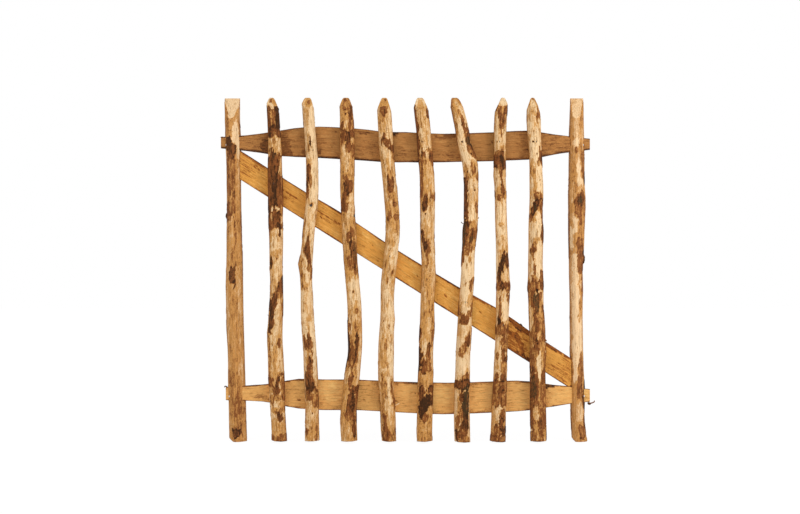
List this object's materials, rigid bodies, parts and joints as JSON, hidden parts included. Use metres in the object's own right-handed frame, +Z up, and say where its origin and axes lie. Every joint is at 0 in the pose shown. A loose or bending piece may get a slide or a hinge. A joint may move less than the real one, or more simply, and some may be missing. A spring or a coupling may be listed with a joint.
{
  "type": "wooden paling gate",
  "caption": "Paling gate leaf of natural poles, with cleft stiles, half-round rails tenoned through them, a diagonal brace and round pales with axe-cut tips.",
  "frame": {"origin": "on the flat back of the hanging stile, which is the right one seen from the pales' side, halfway up", "axes": "+X along the leaf, from the latch stile towards the hanging stile; +Y out of the stiles' flat backs, away from the pales; +Z up"},
  "size_m": [0.978, 0.0746, 0.912],
  "materials": {
    "stile_wood": "cleft and peeled, with strips of bark",
    "top_rail_wood": "cleft face, weathered, bark left on the edges",
    "bottom_rail_wood": "cleft face, bark left on the edges",
    "brace_wood": "cleft face, bark left on the edges",
    "pale_wood": "partly peeled, with bark left in patches",
    "dark_nail": "darkened",
    "bright_nail": "bright"
  },
  "bodies": {
    "root": {"left_stile": "stile_wood", "right_stile": "stile_wood", "top_rail": "top_rail_wood", "bottom_rail": "bottom_rail_wood", "brace": "brace_wood", "pale_1": "pale_wood", "pale_2": "pale_wood", "pale_3": "pale_wood", "pale_4": "pale_wood", "pale_5": "pale_wood", "pale_6": "pale_wood", "pale_7": "pale_wood", "pale_8": "pale_wood", "top_rail_nails": "dark_nail", "bottom_rail_nails": "dark_nail", "brace_nails": "dark_nail", "top_left_tenon_nail": "bright_nail", "top_right_tenon_nail": "bright_nail", "bottom_left_tenon_nail": "bright_nail", "bottom_right_tenon_nail": "bright_nail"}
  },
  "joints": []
}
